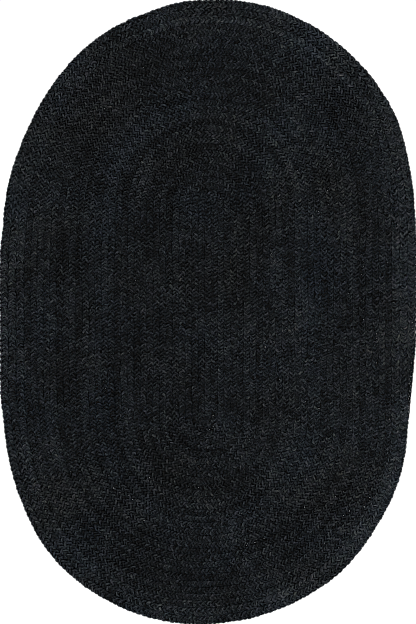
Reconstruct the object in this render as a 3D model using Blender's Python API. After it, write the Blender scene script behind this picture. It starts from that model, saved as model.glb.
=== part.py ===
"""Oval braided jute rug, 1.2 m by 1.8 m, lying flat.

One long flat braid is coiled round a straight first pass and makes the field. A coarser braid is
butted to its end and wound three times round it as the border. Both coils run clockwise as seen
from above, and they grow outwards only round the bottom end (-Y). Each round shows as a rib on
the top face, and the underside is flat.

Metres, +Z up, +Y along the rug. The origin is on the underside, at the middle of the rug's box.
"""

from collections import namedtuple
from math import cos, pi, radians, sin

import bmesh
import bpy
from mathutils import Matrix, Vector

# Driving dimensions of the plan
HALF_WIDTH = 0.600
HALF_FIRST_PASS = 0.3088  # half the straight first pass, which both coils run round
FIELD_ROUNDS = 28
BORDER_ROUNDS = 3
BORDER_WIDTH = 0.023  # width of one border braid
GAP = 0.0003  # between the two braids, which the sewing closes
RIM_BULGE = 0.0012  # how far the outermost braid stands out past its top edge
FIELD_EDGE = HALF_WIDTH - RIM_BULGE - BORDER_ROUNDS * BORDER_WIDTH - GAP
FIELD_WIDTH = FIELD_EDGE / (FIELD_ROUNDS + 0.5)  # width of one field braid

# Heights above the floor
FIELD_CREST = 0.0090
FIELD_VALLEY = 0.0064
BORDER_CREST = 0.0105
BORDER_VALLEY = 0.0076
RIM_BELLY = 0.0048  # where the outermost braid bulges furthest
RIM_FOOT = 0.0020  # how far the foot lies back from the bulge

FLAT_WALL = ((0.0, 0.0),)  # where the two braids meet: (height, how far it stands out)
ROUND_WALL = ((RIM_BELLY, RIM_BULGE), (0.0, -RIM_FOOT))

# The tail of the border braid is thinned out and tucked against the round inside it
TAIL_STEPS = 3  # 0.2 m of the right-hand side
TAIL_END_WIDTH = 0.28  # of a border braid
TAIL_END_CREST = 0.0082

# Black-dyed fibre. The border's takes the dye less deeply
FIELD_COLOUR = (0.0100, 0.0112, 0.0125)
BORDER_COLOUR = (0.0140, 0.0152, 0.0165)
SHARP_ANGLE = radians(40)

# Steps of the coil's mesh
SIDE_STEPS = 9
END_STEPS = 24
ROUND_STEPS = 2 * (SIDE_STEPS + END_STEPS)

# The rug is hand-sewn and uneven: how far its edge is drawn in (mm) at places round it. The way
# round is 0 to 1 down the right side, 1 to 2 round the bottom end, 2 to 3 up the left side and
# 3 to 4 round the top end. Rounds further in are drawn in less.
Settled = namedtuple("Settled", "way drawn_in")
SETTLED = (
    Settled(0.00, 5.0),
    Settled(0.12, 0.0),
    Settled(1.10, 1.0),
    Settled(1.18, 4.0),
    Settled(1.28, -2.0),
    Settled(1.40, 0.0),
    Settled(1.62, -5.0),
    Settled(1.74, -3.0),
    Settled(1.92, 15.0),
    Settled(2.15, 1.0),
    Settled(2.75, 0.0),
    Settled(2.95, 11.0),
    Settled(3.14, 38.0),
    Settled(3.38, 20.0),
    Settled(3.48, 9.0),
    Settled(3.60, 2.0),
    Settled(3.85, 1.0),
    Settled(3.94, 9.0),
)


def eased(share):
    """Goes from 0 to 1 with a level start and end."""
    return (1 - cos(pi * share)) / 2


def drawn_in(way):
    """How far the edge is drawn in at this way round, in metres."""
    after = next((row for row in SETTLED if row.way > way), SETTLED[0])
    before = [row for row in SETTLED if row.way <= way][-1]
    reach = (after.way - before.way) % 4
    share = eased((way - before.way) / reach)
    return (before.drawn_in + (after.drawn_in - before.drawn_in) * share) / 1000


def ray(step):
    """A line across the rounds at this step of the coil: where it leaves the first pass, its
    direction, and its way round."""
    step %= ROUND_STEPS
    if step < SIDE_STEPS:
        share = step / SIDE_STEPS
        return Vector((0, HALF_FIRST_PASS * (1 - 2 * share))), Vector((1, 0)), share
    step -= SIDE_STEPS
    if step < END_STEPS:
        share = step / END_STEPS
        aim = Vector((cos(pi * share), -sin(pi * share)))
        return Vector((0, -HALF_FIRST_PASS)), aim, 1 + share
    step -= END_STEPS
    if step < SIDE_STEPS:
        share = step / SIDE_STEPS
        return Vector((0, HALF_FIRST_PASS * (2 * share - 1))), Vector((-1, 0)), 2 + share
    share = (step - SIDE_STEPS) / END_STEPS
    aim = Vector((-cos(pi * share), sin(pi * share)))
    return Vector((0, HALF_FIRST_PASS)), aim, 3 + share


def rounds_out(step):
    """How many braid widths a coil has grown outwards by this step."""
    whole, part = divmod(step, ROUND_STEPS)
    bend = min(max((part - SIDE_STEPS) / END_STEPS, 0), 1)
    return whole + eased(bend)


def spot(step, radius, height):
    """The point at this step of the coil and this far from the first pass."""
    start, aim, way = ray(step)
    settled = radius - drawn_in(way) * (radius / HALF_WIDTH) ** 2
    flat = start + aim * settled
    return Vector((flat.x, flat.y, height))


def field_line(step, share):
    """Distance of the field braid's inner edge (share -0.5), middle (0) or outer edge (0.5) from
    the first pass."""
    return FIELD_WIDTH * (rounds_out(step) + share)


def border_edge(step):
    """Distance of the border braid's outer edge from the first pass."""
    return FIELD_EDGE + GAP + BORDER_WIDTH * rounds_out(step)


def strip(bm, inner, crest, outer, last):
    """The faces either side of a braid's crest, from its start to its last step."""
    for step in range(last):
        for near, far in ((inner, crest), (crest, outer)):
            corners = (near[step], far[step], far[step + 1], near[step + 1])
            different = list(dict.fromkeys(corners))
            if len(different) > 2:
                bm.faces.new(different)


def field_sheet(bm):
    """The ribbed top of the field, as one open sheet. Returns its edge and the wall under it."""
    last = FIELD_ROUNDS * ROUND_STEPS + SIDE_STEPS
    steps = range(last + 1)
    crest = [bm.verts.new(spot(n, field_line(n, 0), FIELD_CREST)) for n in steps]
    outer = [bm.verts.new(spot(n, field_line(n, 0.5), FIELD_VALLEY)) for n in steps]

    # The inner edge of the first round: down the left of the first pass, still at the hairpin,
    # up again on the same points, and round the start of the braid.
    half = FIELD_WIDTH / 2
    up_again = SIDE_STEPS + END_STEPS
    left = [
        bm.verts.new(spot(up_again + n, half, FIELD_VALLEY)) for n in range(SIDE_STEPS + 1)
    ]
    start_arc = [
        bm.verts.new(spot(up_again + SIDE_STEPS + n, half, FIELD_VALLEY))
        for n in range(1, END_STEPS)
    ]
    inner = left[::-1] + [left[0]] * (END_STEPS - 1) + left + start_arc
    inner += outer[: last + 1 - len(inner)]
    strip(bm, inner, crest, outer, last)
    around = [left[-1], *start_arc, outer[0]]
    for near, far in zip(around, around[1:]):
        bm.faces.new((crest[0], near, far))
    rim = [*outer[last - ROUND_STEPS :], crest[last]]
    return [(rim, FLAT_WALL)]


def border_sheet(bm):
    """The ribbed top of the border, as one open sheet round a hole. Its steps count from the
    lower end of the right side, where the field ends."""
    last = BORDER_ROUNDS * ROUND_STEPS
    inner, crest, outer = [], [], []
    for n in range(last + 1):
        step = n + SIDE_STEPS
        clear = Vector((0, -GAP, 0)) if n % ROUND_STEPS == 0 else Vector((0, 0, 0))
        thinned = max(n - last + TAIL_STEPS, 0) / TAIL_STEPS
        thickened = eased(min(n / END_STEPS, 1))
        if n < ROUND_STEPS:
            near = field_line(step + (FIELD_ROUNDS - 1) * ROUND_STEPS, 0.5) + GAP
            inner.append(bm.verts.new(spot(step, near, FIELD_VALLEY) + clear))
        else:
            near = border_edge(step - ROUND_STEPS)
            inner.append(outer[n - ROUND_STEPS])
        width = (border_edge(step) - near) * (1 - (1 - TAIL_END_WIDTH) * thinned)
        top = FIELD_CREST + (BORDER_CREST - FIELD_CREST) * thickened
        top += (TAIL_END_CREST - BORDER_CREST) * thinned
        crest.append(bm.verts.new(spot(step, near + width / 2, top) + clear))
        outer.append(bm.verts.new(spot(step, near + width, BORDER_VALLEY) + clear))
    strip(bm, inner, crest, outer, last)
    hole = [*inner[:ROUND_STEPS], outer[0], crest[0]]
    rim = [*outer[last - ROUND_STEPS :], crest[last]]
    return [(hole, FLAT_WALL), (rim, ROUND_WALL)]


def hang_wall(bm, loop, levels):
    """A wall down from a closed loop of vertices to the floor. Returns its lowest edges."""
    for height, stand_out in levels:
        lower = []
        for vert in loop:
            x, y, _ = vert.co
            on_first_pass = min(max(y, -HALF_FIRST_PASS), HALF_FIRST_PASS)
            outwards = Vector((x, y - on_first_pass, 0)).normalized()
            place = Vector((x, y, 0)) + outwards * stand_out
            lower.append(bm.verts.new((place.x, place.y, height)))
        for n in range(len(loop)):
            bm.faces.new((loop[n - 1], loop[n], lower[n], lower[n - 1]))
        loop = lower
    return [bm.edges.get((loop[n - 1], loop[n])) for n in range(len(loop))]


def braid_mesh(name, sheet):
    """A closed solid: the ribbed sheet, the walls under its edges and a flat underside."""
    bm = bmesh.new()
    feet = []
    for loop, levels in sheet(bm):
        feet += hang_wall(bm, loop, levels)
    bmesh.ops.triangle_fill(bm, use_beauty=True, edges=feet)
    bmesh.ops.triangulate(bm, faces=bm.faces[:])
    bmesh.ops.recalc_face_normals(bm, faces=bm.faces[:])
    mesh = bpy.data.meshes.new(name)
    bm.to_mesh(mesh)
    bm.free()
    return mesh


def dyed_fibre(name, colour, roughness):
    """Black-dyed jute."""
    material = bpy.data.materials.new(name)
    material.use_nodes = True
    shader = material.node_tree.nodes["Principled BSDF"]
    shader.inputs["Base Color"].default_value = (*colour, 1)
    shader.inputs["Roughness"].default_value = roughness
    shader.inputs["Metallic"].default_value = 0
    return material


def add_braid(collection, name, sheet, material):
    """One braid as an object of its own."""
    mesh = braid_mesh(name, sheet)
    mesh.materials.append(material)
    mesh.shade_smooth()
    mesh.set_sharp_from_angle(angle=SHARP_ANGLE)
    braid = bpy.data.objects.new(name, mesh)
    collection.objects.link(braid)
    return braid


def centre_on_floor(braids):
    """Moves the meshes so that the origin is at the middle of their common box."""
    places = [vert.co for braid in braids for vert in braid.data.vertices]
    low = Vector([min(place[axis] for place in places) for axis in range(3)])
    high = Vector([max(place[axis] for place in places) for axis in range(3)])
    middle = (low + high) / 2
    for braid in braids:
        braid.data.transform(Matrix.Translation((-middle.x, -middle.y, -low.z)))


for thing in list(bpy.data.objects):
    bpy.data.objects.remove(thing, do_unlink=True)

rug = bpy.data.collections.new("braided_rug")
bpy.context.scene.collection.children.link(rug)
field = add_braid(rug, "field_braid", field_sheet, dyed_fibre("field_jute", FIELD_COLOUR, 0.9))
border = add_braid(rug, "border_braid", border_sheet, dyed_fibre("border_jute", BORDER_COLOUR, 0.85))
centre_on_floor((field, border))
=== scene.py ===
"""Looks of an oval braided jute rug, 1.2 m by 1.8 m, seen from straight above on a white floor."""

import math
from collections import namedtuple

import bpy
import numpy as np
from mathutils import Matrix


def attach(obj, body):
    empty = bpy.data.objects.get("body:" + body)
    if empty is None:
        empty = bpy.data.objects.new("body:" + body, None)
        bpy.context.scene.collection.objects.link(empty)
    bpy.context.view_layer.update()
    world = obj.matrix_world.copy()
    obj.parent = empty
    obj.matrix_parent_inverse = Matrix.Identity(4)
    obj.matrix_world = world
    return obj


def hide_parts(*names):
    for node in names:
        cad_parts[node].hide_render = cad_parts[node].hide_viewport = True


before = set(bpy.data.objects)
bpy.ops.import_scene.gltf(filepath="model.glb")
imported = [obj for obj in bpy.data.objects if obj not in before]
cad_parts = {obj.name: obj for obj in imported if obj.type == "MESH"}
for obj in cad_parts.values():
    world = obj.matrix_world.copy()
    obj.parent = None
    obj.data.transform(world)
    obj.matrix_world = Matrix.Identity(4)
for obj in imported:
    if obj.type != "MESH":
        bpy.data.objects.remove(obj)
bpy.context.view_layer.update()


# --- Field braid -------------------------------------------------------------------------------
# A flat braid of three black-dyed jute strands, 81 m long. It starts in the middle with one
# straight pass and is coiled clockwise round it, 28 times. Each round is sewn to the one inside.

HALF_WIDTH = 0.600  # of the whole rug
HALF_FIRST_PASS = 0.3088  # of the length of the straight pass in the middle
TUCKED_START = 0.009  # how far the braid's narrowed first end goes past the first pass
RIM_BULGE = 0.0012  # how far the solid's rim stands out past its top edge
GAP = 0.0003  # between the field and the border
FIELD_ROUNDS = 28
BORDER_ROUNDS = 3
BORDER_WIDTH = 0.023
FIELD_EDGE = HALF_WIDTH - RIM_BULGE - BORDER_ROUNDS * BORDER_WIDTH - GAP
FIELD_WIDTH = FIELD_EDGE / (FIELD_ROUNDS + 0.5)
SIDE_POINTS, END_POINTS = 40, 120  # along each straight side and round each end

# How far the hand-sewn edge is drawn in, in mm. The way round is 0 to 1 down the right side,
# 1 to 2 round the bottom end, 2 to 3 up the left side and 3 to 4 round the top end.
Settled = namedtuple("Settled", "way drawn_in")
SETTLED = (
    Settled(0.00, 5.0),
    Settled(0.12, 0.0),
    Settled(1.10, 1.0),
    Settled(1.18, 4.0),
    Settled(1.28, -2.0),
    Settled(1.40, 0.0),
    Settled(1.62, -5.0),
    Settled(1.74, -3.0),
    Settled(1.92, 15.0),
    Settled(2.15, 1.0),
    Settled(2.75, 0.0),
    Settled(2.95, 11.0),
    Settled(3.14, 38.0),
    Settled(3.38, 20.0),
    Settled(3.48, 9.0),
    Settled(3.60, 2.0),
    Settled(3.85, 1.0),
    Settled(3.94, 9.0),
    Settled(4.00, 5.0),
)


def eased(share):
    """Goes from 0 to 1 with a level start and end."""
    return (1 - np.cos(np.pi * share)) / 2


def drawn_in(way):
    """How far the edge is drawn in at these ways round, in metres."""
    places = np.array([row.way for row in SETTLED])
    depths = np.array([row.drawn_in for row in SETTLED]) / 1000
    after = np.clip(np.searchsorted(places, way, side="right"), 1, len(places) - 1)
    share = eased((way - places[after - 1]) / (places[after] - places[after - 1]))
    return depths[after - 1] + (depths[after] - depths[after - 1]) * share


def ways(first, last):
    """Ways round the coil from first to last, four to a round, closer together on the ends."""
    found = [np.array([last])]
    for quarter in range(math.floor(first), math.ceil(last)):
        count = END_POINTS if quarter % 2 else SIDE_POINTS
        found.append(quarter + np.arange(count) / count)
    found = np.sort(np.concatenate(found))
    return found[(found >= first) & (found <= last)]


def rounds_out(way):
    """How many braid widths a coil has grown outwards. It grows only round the bottom end."""
    return way // 4 + eased(np.clip(way % 4 - 1, 0, 1))


# How far the rounds lie off their even spacing, as waves that run round and across the rug.
# Each has a number of waves in a round and in a metre outwards, a start in waves and a size in mm.
Ripple = namedtuple("Ripple", "around outwards start size")
RIPPLES = (
    Ripple(5, 4.9, 0.06, 0.9),
    Ripple(9, -3.7, 0.33, 0.8),
    Ripple(14, 7.1, 0.64, 0.6),
    Ripple(23, -6.0, 0.17, 0.4),
)


def rippled(way, offset):
    """How far the rounds lie off their even spacing here, in metres: none at the rim and middle."""
    off = sum(r.size * np.sin(math.tau * (way % 4 / 4 * r.around + offset * r.outwards + r.start))
              for r in RIPPLES)
    return off / 1000 * np.sin(np.pi * np.clip(offset / FIELD_EDGE, 0, 1))


def on_plan(way, offset):
    """Points at these ways round and this far from the first pass, on the floor."""
    quarter, share = way % 4 // 1, way % 1
    side = quarter % 2 == 0
    down = np.where(quarter < 2, 1, -1)  # the right side and the bottom end are passed first
    start_y = np.where(side, down * HALF_FIRST_PASS * (1 - 2 * share), -down * HALF_FIRST_PASS)
    turn = np.where(side, 0, np.pi * share)
    out = offset - drawn_in(way % 4) * (offset / HALF_WIDTH) ** 2 + rippled(way, offset)
    points = np.zeros((len(way), 3))
    points[:, 0] = down * np.cos(turn) * out
    points[:, 1] = start_y - down * np.sin(turn) * out
    return points


def rug_middle():
    """The middle of the rug's box, which the frame has as its origin."""
    round_it = ways(4 * BORDER_ROUNDS - 3, 4 * BORDER_ROUNDS + 1)
    rim = on_plan(round_it, FIELD_EDGE + GAP + RIM_BULGE + BORDER_WIDTH * rounds_out(round_it))
    return (rim.max(0) + rim.min(0)) / 2


MIDDLE = rug_middle()


def path_object(name, points, half_widths, rolls=0.0):
    """A line for a braid to follow. Each point's radius is half the braid's width there, and its
    tilt is how far the braid rolls outwards."""
    curve = bpy.data.curves.new(name, "CURVE")
    curve.dimensions = "3D"
    spline = curve.splines.new("POLY")
    spline.points.add(len(points) - 1)
    placed = np.concatenate([points - MIDDLE, np.ones((len(points), 1))], axis=1)
    spline.points.foreach_set("co", placed.ravel())
    spline.points.foreach_set("radius", np.broadcast_to(half_widths, len(points)).ravel())
    spline.points.foreach_set("tilt", np.broadcast_to(rolls, len(points)).ravel())
    path = bpy.data.objects.new(name, curve)
    bpy.context.scene.collection.objects.link(path)
    return path


def put(tree, kind, inputs=(), **settings):
    """Adds a node to a tree, with its settings, and feeds its inputs in their order or by name."""
    node = tree.nodes.new(kind)
    for name, value in settings.items():
        setattr(node, name, value)
    pairs = inputs.items() if isinstance(inputs, dict) else enumerate(inputs)
    for socket, value in pairs:
        if isinstance(value, bpy.types.NodeSocket):
            tree.links.new(value, node.inputs[socket])
        elif value is not None:
            node.inputs[socket].default_value = value
    return node


def calc(tree, operation, *values):
    """The result of a Math node."""
    return put(tree, "ShaderNodeMath", values, operation=operation).outputs[0]


def aim(tree, operation, *values):
    """The result of a Vector Math node."""
    return put(tree, "ShaderNodeVectorMath", values, operation=operation).outputs[0]


def scaled(tree, vector, factor):
    """A vector times a number."""
    sockets = {0: vector, "Scale": factor}
    return put(tree, "ShaderNodeVectorMath", sockets, operation="SCALE").outputs[0]


def joined(tree, *parts):
    """A vector made of up to three numbers."""
    return put(tree, "ShaderNodeCombineXYZ", parts).outputs[0]


def store(tree, geometry, name, value, **settings):
    """The geometry with a value stored under a name: a number on its points, if nothing is set."""
    sockets = {"Geometry": geometry, "Name": name, "Value": value}
    return put(tree, "GeometryNodeStoreNamedAttribute", sockets, **settings).outputs[0]


def named(tree, name, data_type="FLOAT"):
    """The value that is stored under a name."""
    sockets = {"Name": name}
    return put(tree, "GeometryNodeInputNamedAttribute", sockets, data_type=data_type).outputs[0]


def new_tree(name, kind, inputs, outputs):
    """A node tree with named sockets, its group input node and its group output node."""
    tree = bpy.data.node_groups.new(name, kind)
    for label, socket, value in inputs:
        made = tree.interface.new_socket(label, in_out="INPUT", socket_type=socket)
        if value is not None:
            made.default_value = value
    for label, socket in outputs:
        tree.interface.new_socket(label, in_out="OUTPUT", socket_type=socket)
    return tree, tree.nodes.new("NodeGroupInput"), tree.nodes.new("NodeGroupOutput")


def end_tree(tree, made, geometry, spent, material):
    """Ends a Geometry Nodes tree with one smooth mesh of this material. It drops the stored
    values that are spent."""
    geometry = put(tree, "GeometryNodeRealizeInstances", {"Geometry": geometry}).outputs[0]
    for name in spent:
        sockets = {"Geometry": geometry, "Name": name}
        geometry = put(tree, "GeometryNodeRemoveAttribute", sockets).outputs[0]
    geometry = put(tree, "GeometryNodeSetShadeSmooth", {"Geometry": geometry}).outputs[0]
    sockets = {"Geometry": geometry, "Material": material}
    geometry = put(tree, "GeometryNodeSetMaterial", sockets).outputs[0]
    tree.links.new(geometry, made.inputs[0])


def softened(tree, wave, sharpness):
    """A wave between -1 and 1 with its slopes made steeper and its tops flatter."""
    bend = calc(tree, "POWER", sharpness, 2.0)
    squared = calc(tree, "ADD", calc(tree, "MULTIPLY", wave, wave), bend)
    gain = calc(tree, "SQRT", calc(tree, "DIVIDE", calc(tree, "ADD", bend, 1.0), squared))
    return calc(tree, "MULTIPLY", wave, gain)


# How far a strand and the whole braid stray from an even course. Amounts are shares of half the
# braid's width, apart from the girth's, a share of the girth, and the roll's, in radians.
Waver = namedtuple("Waver", "per_metre amount channel")
STRAND_SWING = Waver(45, 0.11, 1)
STRAND_RISE = Waver(60, 0.10, 2)
STRAND_GIRTH = Waver(70, 0.20, 3)
BRAID_SWING = Waver(9, 0.06, 5)
BRAID_RISE = Waver(11, 0.06, 6)
BRAID_ROLL = Waver(6, 0.20, 7)
CHANNELS_APART, SEEDS_APART = 13.7, 107.31  # how far along the noise the next one starts
SLACK_PER_METRE = 2.0

CROSSINGS = 2.0  # with the other strands, in a period
CROSSING_START = 0.75  # so that a crossing is counted from where the strand is lowest
NUMBERS_APART = 20000.0  # from one strand's crossings to the next one's, which are fewer
STRAND_RADIUS = 0.57  # in half widths of the braid, of a strand whose Width and Thickness are 1
LOWEST = 0.0001  # of a strand above the floor
FAR = 9.0  # beyond the rug
U_MARGIN, V_MARGIN = 0.01, 0.03  # left free at the ends and the sides of a row of the UV map


def strand_tree():
    """Geometry Nodes: one strand of a flat three-strand braid, laid along a path. Its sizes are
    shares of half the braid's width, which the path's radius gives."""
    floats = (
        ("Period", 0.0324),  # metres of braid in which a strand comes back to its place
        ("Steps", 9.0),  # in a period
        ("Crowding", 0.2),  # of the steps, towards the turns
        ("Reach", 0.80),  # how far the strand swings to either side
        ("Turn", 0.95),  # how slowly it turns back at the edge: less is longer along the edge
        ("Lift", -0.15),  # how far it rises and dips as it crosses the others
        ("Rises", 2.0),  # in a period
        ("Rise phase", 0.0),  # in turns
        ("Crest", 0.5),  # how round its crossing is: less is flatter
        ("Height", 0.483),  # of the braid's middle above the floor
        ("Width", 0.88),
        ("Thickness", 0.62),
        ("Phase", 0.0),  # of a period
        ("Start", 0.0),  # metres of braid before this path
        ("Unevenness", 1.5),  # times what a strand strays
        ("Wander", 1.0),  # times what the whole braid strays
        ("Slack", 3.0),  # by how many periods the braid was pulled tighter or looser in places
        ("Seed", 0.0),
        ("Row", 1.0),  # metres of braid in a row of the UV map
        ("Rows", 1.0),
    )
    inputs = [("Path", "NodeSocketGeometry", None)]
    inputs += [(label, "NodeSocketFloat", value) for label, value in floats]
    inputs += [("Sides", "NodeSocketInt", 5), ("Material", "NodeSocketMaterial", None)]
    outputs = [("Strand", "NodeSocketGeometry")]
    tree, given, made = new_tree("lay strand", "GeometryNodeTree", inputs, outputs)
    given = given.outputs
    seed = given["Seed"]

    def stray(waver, seed=None):
        """A smooth random number along a strand or, without a seed, along the whole braid."""
        shift = waver.channel * CHANNELS_APART
        place = calc(tree, "MULTIPLY_ADD", length, waver.per_metre, shift)
        if seed:
            place = calc(tree, "MULTIPLY_ADD", seed, SEEDS_APART, place)
        sockets = {"W": place, "Scale": 1.0, "Detail": 1.0}
        noise = put(tree, "ShaderNodeTexNoise", sockets, noise_dimensions="1D").outputs[0]
        swing = calc(tree, "MULTIPLY", calc(tree, "SUBTRACT", noise, 0.5), 2 * waver.amount)
        return calc(tree, "MULTIPLY", swing, given["Unevenness" if seed else "Wander"])

    def of_face(value):
        """A value's mean over a face."""
        return put(tree, "GeometryNodeFieldOnDomain", (value,), domain="FACE").outputs[0]

    # How far along the braid each step of the strand is, and at what angle of its swing.
    step = calc(tree, "DIVIDE", given["Period"], given["Steps"])
    sockets = {"Curve": given["Path"], "Length": step}
    line = put(tree, "GeometryNodeResampleCurve", sockets, mode="LENGTH").outputs[0]
    along_path = put(tree, "GeometryNodeSplineParameter").outputs["Length"]
    even = calc(tree, "ADD", along_path, given["Start"])
    turns = calc(tree, "ADD", calc(tree, "DIVIDE", even, given["Period"]), given["Phase"])
    crowd = calc(tree, "SINE", calc(tree, "MULTIPLY", turns, 2 * math.tau))
    crowd = calc(tree, "MULTIPLY", crowd, given["Crowding"])
    angle = calc(tree, "MULTIPLY_ADD", turns, math.tau, crowd)
    sockets = {"W": even, "Scale": SLACK_PER_METRE, "Detail": 2.0}
    slack = put(tree, "ShaderNodeTexNoise", sockets, noise_dimensions="1D").outputs[0]
    most_slack = calc(tree, "MULTIPLY", given["Slack"], math.tau)
    angle = calc(tree, "MULTIPLY_ADD", slack, most_slack, angle)
    shift = calc(tree, "MULTIPLY", calc(tree, "DIVIDE", crowd, math.tau), given["Period"])
    length = calc(tree, "ADD", even, shift)
    half = put(tree, "GeometryNodeInputRadius").outputs[0]
    tangent = put(tree, "GeometryNodeInputTangent").outputs[0]
    outwards = aim(tree, "NORMALIZE", aim(tree, "CROSS_PRODUCT", (0, 0, 1), tangent))

    # Its swing to the sides, its rise and its roll there, and where that puts it.
    swing = softened(tree, calc(tree, "SINE", angle), given["Turn"])
    swing = calc(tree, "MULTIPLY", swing, given["Reach"])
    swing = calc(tree, "ADD", swing, stray(STRAND_SWING, seed))
    swing = calc(tree, "ADD", swing, stray(BRAID_SWING))
    phase = calc(tree, "MULTIPLY", given["Rise phase"], math.tau)
    rise = calc(tree, "SINE", calc(tree, "MULTIPLY_ADD", angle, given["Rises"], phase))
    rise = softened(tree, rise, given["Crest"])
    rise = calc(tree, "MULTIPLY_ADD", rise, given["Lift"], given["Height"])
    rise = calc(tree, "ADD", rise, stray(STRAND_RISE, seed))
    rise = calc(tree, "ADD", rise, stray(BRAID_RISE))
    roll = calc(tree, "ADD", named(tree, "tilt"), stray(BRAID_ROLL))
    rolled = calc(tree, "MULTIPLY", swing, calc(tree, "SINE", roll))
    rise = calc(tree, "SUBTRACT", rise, rolled)
    across = scaled(tree, outwards, calc(tree, "MULTIPLY", swing, half))
    up = joined(tree, None, None, calc(tree, "MULTIPLY", rise, half))
    forward = scaled(tree, tangent, shift)
    offset = aim(tree, "ADD", aim(tree, "ADD", across, up), forward)
    girth = calc(tree, "MULTIPLY", half, calc(tree, "ADD", 1.0, stray(STRAND_GIRTH, seed)))
    stitch = calc(tree, "DIVIDE", angle, math.tau)
    stitch = calc(tree, "MULTIPLY_ADD", stitch, CROSSINGS, CROSSING_START)
    stitch = calc(tree, "MULTIPLY_ADD", seed, NUMBERS_APART, stitch)

    for name, value in (("along", length), ("girth", girth), ("stitch", stitch), ("roll", roll)):
        line = store(tree, line, name, value)
    line = put(tree, "GeometryNodeSetPosition", {"Geometry": line, "Offset": offset}).outputs[0]
    line = put(tree, "GeometryNodeSetCurveNormal", {"Curve": line}, mode="Z_UP").outputs[0]
    tilt = calc(tree, "MULTIPLY", named(tree, "roll"), -1.0)
    line = put(tree, "GeometryNodeSetCurveTilt", {"Curve": line, "Tilt": tilt}).outputs[0]
    line = put(tree, "GeometryNodeSetCurveRadius", {"Curve": line, "Radius": 1.0}).outputs[0]

    # The strand's section, which is a flattened ring with its first corner at the top.
    sockets = {"Resolution": given["Sides"], "Radius": STRAND_RADIUS}
    ring = put(tree, "GeometryNodeCurvePrimitiveCircle", sockets).outputs[0]
    sockets = {"Geometry": ring, "Rotation": (0, 0, math.pi / 2)}
    ring = put(tree, "GeometryNodeTransform", sockets).outputs[0]
    flat = joined(tree, given["Width"], given["Thickness"], 1.0)
    ring = put(tree, "GeometryNodeTransform", {"Geometry": ring, "Scale": flat}).outputs[0]
    section = put(tree, "GeometryNodeInputPosition").outputs[0]
    ring = store(tree, ring, "section", section, data_type="FLOAT_VECTOR")
    corner = put(tree, "GeometryNodeInputIndex").outputs[0]
    ring = store(tree, ring, "around", calc(tree, "DIVIDE", corner, given["Sides"]))

    sockets = {"Curve": line, "Profile Curve": ring, "Scale": named(tree, "girth"), "Fill Caps": True}
    tube = put(tree, "GeometryNodeCurveToMesh", sockets).outputs[0]
    place = put(tree, "GeometryNodeInputPosition").outputs[0]
    above_floor = aim(tree, "MAXIMUM", place, (-FAR, -FAR, LOWEST))
    sockets = {"Geometry": tube, "Position": above_floor}
    tube = put(tree, "GeometryNodeSetPosition", sockets).outputs[0]
    cut = scaled(tree, named(tree, "section", "FLOAT_VECTOR"), named(tree, "girth"))
    cut = put(tree, "ShaderNodeSeparateXYZ", (cut,)).outputs
    fibre = joined(tree, named(tree, "along"), cut[0], cut[1])
    tube = store(tree, tube, "fibre", fibre, data_type="FLOAT_VECTOR")

    # The UV map has the strand cut into rows, one above the other, each opened out flat.
    rows_along = calc(tree, "SUBTRACT", named(tree, "along"), given["Start"])
    rows_along = calc(tree, "DIVIDE", rows_along, given["Row"])
    row = calc(tree, "FLOOR", calc(tree, "MAXIMUM", of_face(rows_along), 0.0))
    row = calc(tree, "MINIMUM", row, calc(tree, "SUBTRACT", given["Rows"], 1.0))
    u = calc(tree, "SUBTRACT", rows_along, row)
    u = calc(tree, "MULTIPLY_ADD", u, 1 - 2 * U_MARGIN, U_MARGIN)
    # The ring's last face ends at its first corner, which counts as 1 there and not as 0.
    quarter_back = calc(tree, "SUBTRACT", of_face(named(tree, "around")), 0.25)
    closing = calc(tree, "LESS_THAN", named(tree, "around"), quarter_back)
    v = calc(tree, "ADD", named(tree, "around"), closing)
    v = calc(tree, "MULTIPLY_ADD", v, 1 - 2 * V_MARGIN, V_MARGIN)
    v = calc(tree, "DIVIDE", calc(tree, "ADD", row, v), given["Rows"])
    tube = store(tree, tube, "OFBake", joined(tree, u, v), data_type="FLOAT2", domain="CORNER")
    end_tree(tree, made, tube, ("along", "girth", "section", "roll", "around"), given["Material"])
    return tree


def grown(name, base, tree, sizes):
    """The mesh that a Geometry Nodes tree makes from a base object, as a plain object."""
    modifier = base.modifiers.new(tree.name, "NODES")
    modifier.node_group = tree
    for item in tree.interface.items_tree:
        if item.in_out == "INPUT" and item.name in sizes:
            modifier[item.identifier] = sizes[item.name]
    bpy.context.view_layer.update()
    seen = base.evaluated_get(bpy.context.evaluated_depsgraph_get())
    mesh = bpy.data.meshes.new_from_object(seen)
    mesh.name = name
    base.modifiers.remove(modifier)
    piece = bpy.data.objects.new(name, mesh)
    bpy.context.scene.collection.objects.link(piece)
    return piece


# Some rounds are paler, darker or bluer than others, as strands from several dye lots would be.
# The rounds are given by their distance out from the first pass, in metres.
Lot = namedtuple("Lot", "out tone blue")
LOTS = (
    Lot(0.250, 0.00, 0.00),
    Lot(0.280, 0.08, 0.03),
    Lot(0.312, 0.08, 0.03),
    Lot(0.345, -0.04, 0.00),
    Lot(0.380, -0.14, -0.01),
    Lot(0.430, -0.10, -0.01),
    Lot(0.480, 0.00, 0.00),
)
EVEN = 0.5  # no change: the ramp's colours can't be less than 0
LOT_HUE = 10.0  # how much a lot's blue counts against the warmth

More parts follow.
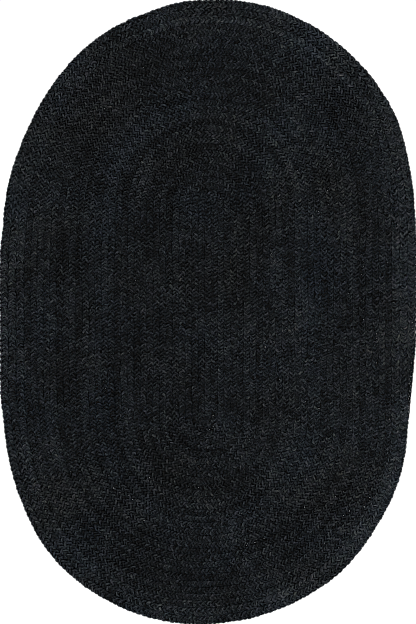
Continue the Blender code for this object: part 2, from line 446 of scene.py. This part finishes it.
# Noise in the dye, by how often it changes in a metre.
Noise = namedtuple("Noise", "per_metre detail roughness")
HAIR = Noise((45, 2600, 2600), 1.0, 0.5)  # along the strand and across it
BUNDLE = Noise((170, 420, 420), 2.0, 0.5)  # the same
PATCH = Noise((6, 6, 6), 4.0, 0.6)  # over the rug
HUE = Noise((5, 5, 5), 4.0, 0.6)  # the same
SPECK = Noise((75, 75, 75), 1.0, 0.5)  # the same
ROUND = Noise((45, 1, 1), 1.0, 0.5)  # out from the first pass, and over the rug
HUE_SHIFT = (7.0, 3.0, 0.0)  # so that its noise isn't like the patches'
SPLICES = 0.021  # in a crossing: a length is 48 crossings, or 0.8 m

HAIR_CONTRAST = 0.5
PAINTED_LIGHT_SIDE = (-0.05, 0.30, -0.3, 0.7)  # from x to x, and the shares of the right side's painted light there
PIT_EDGE = (-0.95, -0.7)  # the noise at a dark speck's bottom and at its edge
GAMMA = 2.2  # of a screen, by which tones look even
LEAST_SHADE = 0.1
MEAN_SHADE = 0.7
SHEEN_WARMTH = 0.4  # how much warmer the pale places are made: a painted sheen that greys them like a highlight
ROUGHNESS, BUNDLE_SHEEN = 0.62, -0.07  # the second is added where a bundle is pale
HAIR_RELIEF = 0.35  # against the bundles' 1


def dyed_jute_group():
    """Shader nodes: dyed jute fibres. They read the strand's attributes: fibre, which is the place
    along and across the strand in metres, and stitch, which counts the strand's crossings."""
    sockets = [("Colour", "NodeSocketColor", (0.01, 0.01, 0.01, 1.0))]
    sockets += [(label, "NodeSocketFloat", value) for label, value in (
        ("Bundles", 1.8),  # contrast between bundles of fibres
        ("Stitches", 0.8),  # between one crossing and the next
        ("Lengths", 0.35),  # between spliced lengths
        ("Patches", 0.65),  # between areas of the rug
        ("Rounds", 0.4),  # between one round and the next
        ("Dye", 0.05),  # how far a crossing's hue strays
        ("Warmth", 0.12),  # how far an area's does, from blue to brown
        ("Pit shade", 0.9),  # depth of the dark specks: painted shade of small dimples in the braid
        ("Low", 0.005),  # height at and below which the strands are painted darkest, as painted shade in the dips
        ("High", 0.0088),  # height of the crowns, above which no shade is painted
        ("Dip shade", 0.6),  # how much darker the dips are painted: painted shade where the strands lie low between the crowns
        ("Right side light", 0.27),  # how much paler the right side is painted: painted light, as if more light fell on that side
    )]
    outputs = [("Colour", "NodeSocketColor")]
    outputs += [(label, "NodeSocketFloat") for label in ("Roughness", "Height")]
    tree, given, made = new_tree("dyed jute", "ShaderNodeTree", sockets, outputs)
    given = given.outputs
    fibre = put(tree, "ShaderNodeAttribute", attribute_name="fibre").outputs["Vector"]
    stitch = put(tree, "ShaderNodeAttribute", attribute_name="stitch").outputs["Fac"]
    place = put(tree, "ShaderNodeTexCoord").outputs["Object"]
    x, y, z = put(tree, "ShaderNodeSeparateXYZ", (place,)).outputs

    def noise(vector, kind):
        """Smooth noise between about -1 and 1."""
        sockets = {"Vector": vector, "Scale": kind.per_metre}
        moved = put(tree, "ShaderNodeMapping", sockets).outputs[0]
        sockets = {"Vector": moved, "Scale": 1.0, "Detail": kind.detail, "Roughness": kind.roughness}
        value = put(tree, "ShaderNodeTexNoise", sockets).outputs[0]
        return calc(tree, "MULTIPLY_ADD", value, 4.0, -2.0)

    def drawn(count):
        """A random number between 0 and 1 and a random colour, new at each whole count."""
        sockets = {"W": calc(tree, "FLOOR", count)}
        return put(tree, "ShaderNodeTexWhiteNoise", sockets, noise_dimensions="1D").outputs

    def graded(value, low, high, at_low, at_high, **settings):
        """Goes from at_low to at_high as the value goes from low to high."""
        limits = (value, low, high, at_low, at_high)
        return put(tree, "ShaderNodeMapRange", limits, **settings).outputs[0]

    hair = noise(fibre, HAIR)
    bundle = noise(fibre, BUNDLE)
    patch = noise(place, PATCH)
    warmth = noise(aim(tree, "ADD", place, HUE_SHIFT), HUE)
    speck = noise(place, SPECK)
    splice, _ = drawn(calc(tree, "MULTIPLY", stitch, SPLICES))
    splice = calc(tree, "MULTIPLY_ADD", splice, 2.0, -1.0)
    crossing, dye = drawn(stitch)
    crossing = calc(tree, "MULTIPLY_ADD", crossing, 2.0, -1.0)
    dye = aim(tree, "MULTIPLY_ADD", dye, (2.0, 2.0, 2.0), (-1.0, -1.0, -1.0))

    # How far out from the first pass this is, and which lot's round that makes it.
    past_pass = calc(tree, "SUBTRACT", calc(tree, "ABSOLUTE", y), HALF_FIRST_PASS)
    past_pass = calc(tree, "MAXIMUM", past_pass, 0.0)
    past_pass = calc(tree, "MULTIPLY", past_pass, past_pass)
    out = calc(tree, "SQRT", calc(tree, "MULTIPLY_ADD", x, x, past_pass))
    ring = noise(joined(tree, out, x, y), ROUND)
    ramp = put(tree, "ShaderNodeValToRGB", (out,))
    ramp.color_ramp.interpolation = "EASE"
    stops = ramp.color_ramp.elements
    for n, lot in enumerate(LOTS):
        stop = stops[n] if n < 2 else stops.new(lot.out)  # a ramp comes with two stops
        stop.position = lot.out
        stop.color = (EVEN + lot.tone, EVEN + lot.blue, EVEN, 1.0)
    lot_tone, lot_blue, _ = put(tree, "ShaderNodeSeparateColor", (ramp.outputs[0],)).outputs

    # Tones add up as they look on a screen, and become a share of the dye's colour.
    tone = calc(tree, "MULTIPLY", bundle, given["Bundles"])
    # Painted light: the right side is made paler, as if more light fell there.
    painted_light_side = graded(x, *PAINTED_LIGHT_SIDE, interpolation_type="SMOOTHSTEP")
    for value, amount in ((hair, HAIR_CONTRAST), (crossing, given["Stitches"]),
                          (splice, given["Lengths"]), (patch, given["Patches"]),
                          (painted_light_side, given["Right side light"]), (ring, given["Rounds"])):
        tone = calc(tree, "MULTIPLY_ADD", value, amount, tone)
    tone = calc(tree, "ADD", tone, calc(tree, "SUBTRACT", lot_tone, EVEN))
    shade = calc(tree, "MULTIPLY_ADD", tone, 1 / GAMMA, 1.0)
    shade = calc(tree, "POWER", calc(tree, "MAXIMUM", shade, LEAST_SHADE), GAMMA)
    # Painted shade: dark specks, as small dimples in the braid would be shaded.
    pit_shade = calc(tree, "MULTIPLY", graded(speck, *PIT_EDGE, 1.0, 0.0), given["Pit shade"])
    shade = calc(tree, "MULTIPLY", shade, calc(tree, "SUBTRACT", 1.0, pit_shade))
    # Painted shade: the lower a strand lies below the crowns, the darker it is painted, as if shaded
    # in the dips.
    deepest_shade = calc(tree, "SUBTRACT", 1.0, given["Dip shade"])
    painted_dip_shade = graded(z, given["Low"], given["High"], deepest_shade, 1.0)
    shade = calc(tree, "MULTIPLY", shade, painted_dip_shade)

    lot_blue = calc(tree, "MULTIPLY", calc(tree, "SUBTRACT", lot_blue, EVEN), LOT_HUE)
    warmth = calc(tree, "SUBTRACT", warmth, lot_blue)
    # Painted sheen: the paler a place is, the less blue it is made, so that it greys like a
    # highlight.
    paler = calc(tree, "SUBTRACT", shade, MEAN_SHADE)
    warmth = calc(tree, "MULTIPLY_ADD", paler, SHEEN_WARMTH, warmth)
    warmth = joined(tree, warmth, None, calc(tree, "MULTIPLY", warmth, -1.0))
    hue = aim(tree, "ADD", scaled(tree, dye, given["Dye"]), scaled(tree, warmth, given["Warmth"]))
    hue = aim(tree, "ADD", hue, (1.0, 1.0, 1.0))
    colour = scaled(tree, aim(tree, "MULTIPLY", given["Colour"], hue), shade)
    rough = calc(tree, "MULTIPLY_ADD", bundle, BUNDLE_SHEEN, ROUGHNESS)
    height = calc(tree, "MULTIPLY_ADD", hair, HAIR_RELIEF, bundle)
    for label, value in (("Colour", colour), ("Roughness", rough), ("Height", height)):
        tree.links.new(value, made.inputs[label])
    return tree


def jute_material(name, values):
    """A material of dyed jute with its own values of the group's inputs."""
    material = bpy.data.materials.new(name)
    material.use_nodes = True
    tree = material.node_tree
    shader = tree.nodes["Principled BSDF"]
    fibres = put(tree, "ShaderNodeGroup", node_tree=dyed_jute)
    for label, value in values.items():
        fibres.inputs[label].default_value = value
    relief = {"Strength": 0.7, "Distance": 0.0004, "Height": fibres.outputs["Height"]}
    bump = put(tree, "ShaderNodeBump", relief).outputs[0]
    tree.links.new(fibres.outputs["Colour"], shader.inputs["Base Color"])
    tree.links.new(fibres.outputs["Roughness"], shader.inputs["Roughness"])
    tree.links.new(bump, shader.inputs["Normal"])
    shader.inputs["Specular IOR Level"].default_value = 0.08
    return material


def path_length(points):
    """How long a line through these points is."""
    return float(np.linalg.norm(np.diff(points, axis=0), axis=1).sum())


def map_rows(points, width):
    """Rows of the UV map for a strand of a braid of this width, so that the map is square."""
    length = path_length(points)
    rows = math.ceil(math.sqrt(length / width))
    return {"Rows": float(rows), "Row": length / rows}


dyed_jute = dyed_jute_group()
lay_strand = strand_tree()
field_jute = jute_material("field_jute", {"Colour": (0.0055, 0.0072, 0.0090, 1.0)})
STRANDS = ("a", "b", "c")
LAST_WAY = 4 * FIELD_ROUNDS + 1
CUT_WAY = 79.5  # each strand is cut in two here, as it would be too many triangles for one piece
Stretch = namedtuple("Stretch", "name first_way last_way")
FIELD_STRETCHES = (Stretch("inner", 0, CUT_WAY), Stretch("outer", CUT_WAY, LAST_WAY))
TUCK_THINNING = 0.9  # of the square of the width, at the braid's first end

braid_laid = 0.0
for stretch in FIELD_STRETCHES:
    way = ways(stretch.first_way, stretch.last_way)
    points = on_plan(way, FIELD_WIDTH * rounds_out(way))
    half_widths = np.full(len(points), FIELD_WIDTH / 2)
    if stretch.first_way == 0:
        tuck = np.array([1.0, 0.75, 0.5, 0.25])  # shares of its length, from the end
        points = np.concatenate([points[:1] + np.outer(tuck, (0, TUCKED_START, 0)), points])
        thinned = FIELD_WIDTH / 2 * np.sqrt(1 - TUCK_THINNING * tuck ** 2)
        half_widths = np.concatenate([thinned, half_widths])
    path = path_object("field_path", points, half_widths)
    for n, strand in enumerate(STRANDS):
        sizes = {"Phase": n / len(STRANDS), "Start": braid_laid, "Seed": n + 1.0,
                 "Material": field_jute, **map_rows(points, FIELD_WIDTH)}
        piece = grown(f"field_strand_{strand}_{stretch.name}", path, lay_strand, sizes)
        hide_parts("field_braid")
        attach(piece, "root")
    braid_laid += path_length(points)
    bpy.data.objects.remove(path)


# --- Border braid ------------------------------------------------------------------------------
# A coarser and paler braid of the same make, 14 m long. It starts in line with the field braid's
# end, is wound three times round it and thins to a tail on the right side.
BORDER_PERIOD = 0.0396
TAIL_LENGTH = 0.215
TAIL_END_WIDTH = 0.2  # of its full width
RIM_DROOP = math.radians(10)  # of the last round, which nothing holds up on its outside
BORDER_SIZES = {"Period": BORDER_PERIOD, "Steps": 12.0, "Reach": 0.75, "Thickness": 0.56,
                "Lift": -0.14, "Height": 0.455}

border_look = {"Colour": (0.0074, 0.0096, 0.0119, 1.0), "Stitches": 0.5}
border_jute = jute_material("border_jute", border_look)
way = ways(1, 4 * BORDER_ROUNDS + 1)
first_round = way < 5  # the border starts at 1
near = np.where(first_round, FIELD_WIDTH * (rounds_out(way) + FIELD_ROUNDS - 0.5) + GAP,
                FIELD_EDGE + GAP + BORDER_WIDTH * (rounds_out(way) - 1))
far = FIELD_EDGE + GAP + BORDER_WIDTH * rounds_out(way)
left_to_go = (way[-1] - way) * 2 * HALF_FIRST_PASS  # metres, on the straight side
thinned = np.clip(1 - left_to_go / TAIL_LENGTH, 0, 1)
half_widths = (far - near) / 2 * (1 - (1 - TAIL_END_WIDTH) * thinned)
points = on_plan(way, near + half_widths)
last_round = 4 * BORDER_ROUNDS - 3
droop = RIM_DROOP * eased(np.clip((way - last_round) * 2, 0, 1))  # reached in half an end
path = path_object("border_path", points, half_widths, droop)
for n, strand in enumerate(STRANDS):
    sizes = {"Phase": n / len(STRANDS), "Seed": n + 11.0, "Material": border_jute,
             **map_rows(points, BORDER_WIDTH), **BORDER_SIZES}
    piece = grown(f"border_strand_{strand}", path, lay_strand, sizes)
    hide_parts("border_braid")
    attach(piece, "root")
bpy.data.objects.remove(path)


# --- Sewing thread -----------------------------------------------------------------------------
# A waxed black thread, 1 mm thick. It is whipped by hand over the seam between each round and
# the one inside it, from the second pass to the last, and pulled down between the strands.
STITCH_PITCH = 0.018
STITCH_REACH = 0.0036  # to either side of the seam
THREAD = 0.001
THREAD_GAUGE = THREAD / 2 / STRAND_RADIUS / STITCH_REACH
THREAD_SIZES = {"Period": STITCH_PITCH, "Steps": 5.0, "Crowding": 0.0, "Reach": 1.0,
                "Rises": 1.0, "Rise phase": 0.25, "Lift": 0.62, "Width": THREAD_GAUGE,
                "Thickness": THREAD_GAUGE, "Slack": 0.0, "Seed": 21.0, "Sides": 3}

wax_look = {"Colour": (0.020, 0.021, 0.022, 1.0), "Bundles": 0.3, "Stitches": 0.5}
thread_wax = jute_material("thread_wax", wax_look)
way = ways(2, LAST_WAY)
field_seam = on_plan(way, FIELD_WIDTH * (rounds_out(way) - 0.5))
way = ways(1, 4 * BORDER_ROUNDS + 1)
border_seam = on_plan(way, near)
for name, seam, height in (("field", field_seam, 1.2), ("border", border_seam, 1.5)):
    path = path_object(f"{name}_seam", seam, STITCH_REACH)
    sizes = {"Height": height, "Material": thread_wax, **THREAD_SIZES}
    piece = grown(f"{name}_thread", path, lay_strand, sizes)
    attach(piece, "root")
    bpy.data.objects.remove(path)


# --- Stray fibres ------------------------------------------------------------------------------
# Ends of jute fibre that have worked out of the strands. They are 7 to 21 mm long, they arch
# over the braid and lie back on it, and they are paler than the strands.
FIBRE_LENGTH = 0.014
FIBRE_LENGTHS = (0.5, 1.5)  # the shortest's and the longest's share of it
FIBRE = 0.00025  # thickness at the root, for that length
FIBRE_TAPER = 0.7  # of its thickness, to the tip
FIBRE_TILT = 0.15  # radians, to any side
FIBRE_ARCH = {"Start": (0, 0, 0), "Middle": (0.5, 0.12, 0.22), "End": (1.0, 0.0, 0.05)}
ROOT_LOW, ROOT_HIGH = 0.8, 1.0  # shares of Height
DRAWS = 10.0  # that a seed has room for


def fibre_tree():
    """Geometry Nodes: short bent fibres that stand out of a braid, in places along its path."""
    floats = (
        ("Spacing", 0.1),
        ("Length", FIBRE_LENGTH),
        ("Thickness", FIBRE),
        ("Height", 0.85),  # of their roots, in half widths of the braid
        ("Spread", 0.9),  # of their roots about the path, in the same
    )
    inputs = [("Path", "NodeSocketGeometry", None)]
    inputs += [(label, "NodeSocketFloat", value) for label, value in floats]
    inputs += [("Seed", "NodeSocketInt", 0), ("Material", "NodeSocketMaterial", None)]
    outputs = [("Fibres", "NodeSocketGeometry")]
    tree, given, made = new_tree("raise fibres", "GeometryNodeTree", inputs, outputs)
    given = given.outputs

    def chance(draw, low, high, kind="FLOAT"):
        """A random value between low and high for each fibre."""
        value = put(tree, "FunctionNodeRandomValue", data_type=kind)
        for label, limit in (("Min", low), ("Max", high)):
            plug = next(i for i in value.inputs if i.name == label and i.enabled)
            plug.default_value = limit
        seed = calc(tree, "MULTIPLY_ADD", given["Seed"], DRAWS, float(draw))
        tree.links.new(seed, value.inputs["Seed"])
        return next(o for o in value.outputs if o.enabled)

    sockets = {"Curve": given["Path"], "Length": given["Spacing"]}
    line = put(tree, "GeometryNodeResampleCurve", sockets, mode="LENGTH").outputs[0]
    half = put(tree, "GeometryNodeInputRadius").outputs[0]
    stray = chance(0, (-1.0, -1.0, ROOT_LOW), (1.0, 1.0, ROOT_HIGH), "FLOAT_VECTOR")
    reach = joined(tree, given["Spread"], given["Spread"], given["Height"])
    stray = scaled(tree, aim(tree, "MULTIPLY", stray, reach), half)
    line = put(tree, "GeometryNodeSetPosition", {"Geometry": line, "Offset": stray}).outputs[0]
    index = put(tree, "GeometryNodeInputIndex").outputs[0]
    line = store(tree, line, "stitch", calc(tree, "ADD", index, 0.5))

    # One fibre, 1 long, which is set out in many sizes and directions.
    sockets = {"Resolution": 3, **FIBRE_ARCH}
    bent = put(tree, "GeometryNodeCurveQuadraticBezier", sockets).outputs[0]
    along = put(tree, "GeometryNodeSplineParameter").outputs["Factor"]
    bent = store(tree, bent, "thin", calc(tree, "MULTIPLY_ADD", along, -FIBRE_TAPER, 1.0))
    radius = calc(tree, "MULTIPLY", given["Length"], 2.0)
    radius = calc(tree, "DIVIDE", given["Thickness"], radius)
    sockets = {"Resolution": 3, "Radius": radius}
    ring = put(tree, "GeometryNodeCurvePrimitiveCircle", sockets).outputs[0]
    sockets = {"Curve": bent, "Profile Curve": ring, "Scale": named(tree, "thin"), "Fill Caps": True}
    hair = put(tree, "GeometryNodeCurveToMesh", sockets).outputs[0]
    size = calc(tree, "MULTIPLY", given["Length"], chance(1, *FIBRE_LENGTHS))
    turned = chance(2, (-FIBRE_TILT, -FIBRE_TILT, 0.0), (FIBRE_TILT, FIBRE_TILT, math.tau),
                    "FLOAT_VECTOR")
    sockets = {"Points": line, "Instance": hair, "Rotation": turned, "Scale": size}
    fibres = put(tree, "GeometryNodeInstanceOnPoints", sockets).outputs[0]
    end_tree(tree, made, fibres, ("thin",), given["Material"])
    return tree


raise_fibres = fibre_tree()
loose_look = {"Colour": (0.030, 0.033, 0.036, 1.0), "Bundles": 0.0, "Stitches": 1.6,
              "Lengths": 0.0, "Pit shade": 0.0}
loose_jute = jute_material("loose_jute", loose_look)
way = ways(0, LAST_WAY)
field_line = on_plan(way, FIELD_WIDTH * rounds_out(way))
border_line = points[: len(points) * 2 // 3]  # without the last round, to keep within the rim
for name, line, half_width, spacing in (("field", field_line, FIELD_WIDTH / 2, 0.08),
                                        ("border", border_line, BORDER_WIDTH / 2, 0.05)):
    path = path_object(f"{name}_line", line, half_width)
    sizes = {"Spacing": spacing, "Seed": len(name), "Material": loose_jute}
    piece = grown(f"{name}_fibres", path, raise_fibres, sizes)
    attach(piece, "root")
    bpy.data.objects.remove(path)


# --- Floor, light and camera -------------------------------------------------------------------
# The rug lies on a white floor in even white light, with one soft sun 15 degrees off straight
# above, to the upper left. It is seen from straight above and fills the picture.
bpy.ops.mesh.primitive_plane_add(size=40)
floor = bpy.context.object
floor.name = "floor"
paint = bpy.data.materials.new("floor_paint")
paint.use_nodes = True
coat = paint.node_tree.nodes["Principled BSDF"].inputs
coat["Base Color"].default_value = (0.93, 0.93, 0.93, 1)
coat["Roughness"].default_value = 1.0
coat["Specular IOR Level"].default_value = 0.0
floor.data.materials.append(paint)

scene = bpy.context.scene
world = bpy.data.worlds.new("studio")
world.use_nodes = True
sky = world.node_tree.nodes["Background"].inputs
sky["Color"].default_value = (1, 1, 1, 1)
sky["Strength"].default_value = 0.3
scene.world = world

SUN_SLANT, SUN_TURN = math.radians(15), math.radians(45 + 180)
key = bpy.data.lights.new("key", "SUN")
key.energy = 2.9
key.angle = math.radians(15)
lamp = bpy.data.objects.new("key", key)
lamp.rotation_euler = (SUN_SLANT, 0, SUN_TURN)
scene.collection.objects.link(lamp)

LENS, SENSOR = 100, 36
SEEN_HEIGHT = 1.797  # metres of rug in the picture's height
SEEN_LEVEL = 0.008  # metres above the floor where that is so
camera = bpy.data.cameras.new("camera")
camera.lens = LENS
camera.sensor_width = SENSOR
camera.clip_end = 100
viewer = bpy.data.objects.new("camera", camera)
viewer.location = (0, 0, SEEN_HEIGHT * LENS / SENSOR + SEEN_LEVEL)
scene.collection.objects.link(viewer)
scene.camera = viewer
scene.view_settings.view_transform = "Standard"

# The photo is crisp. Its fine light and dark is drawn out, but not the white round the rug.
CRISPNESS = 0.15
WHITE = 0.06  # what is lighter than this isn't rug
RUG_TONE = (0.0125, 0.0125, 0.0125, 1.0)  # in place of the white, while the rug is made crisp
scene.cycles.filter_width = 1.0
scene.use_nodes = True
darkroom = scene.node_tree
darkroom.nodes.clear()
seen = put(darkroom, "CompositorNodeRLayers").outputs["Image"]
grey = put(darkroom, "CompositorNodeRGBToBW", (seen,)).outputs[0]
beyond = put(darkroom, "CompositorNodeMath", (grey, WHITE), operation="GREATER_THAN").outputs[0]
rug_alone = put(darkroom, "CompositorNodeMixRGB", (beyond, seen, RUG_TONE)).outputs[0]
as_shown = put(darkroom, "CompositorNodeGamma", (rug_alone, 1 / GAMMA)).outputs[0]
crisp = put(darkroom, "CompositorNodeFilter", (CRISPNESS, as_shown), filter_type="SHARPEN").outputs[0]
crisp = put(darkroom, "CompositorNodeGamma", (crisp, GAMMA)).outputs[0]
finished = put(darkroom, "CompositorNodeMixRGB", (beyond, crisp, seen)).outputs[0]
put(darkroom, "CompositorNodeComposite", (finished,))
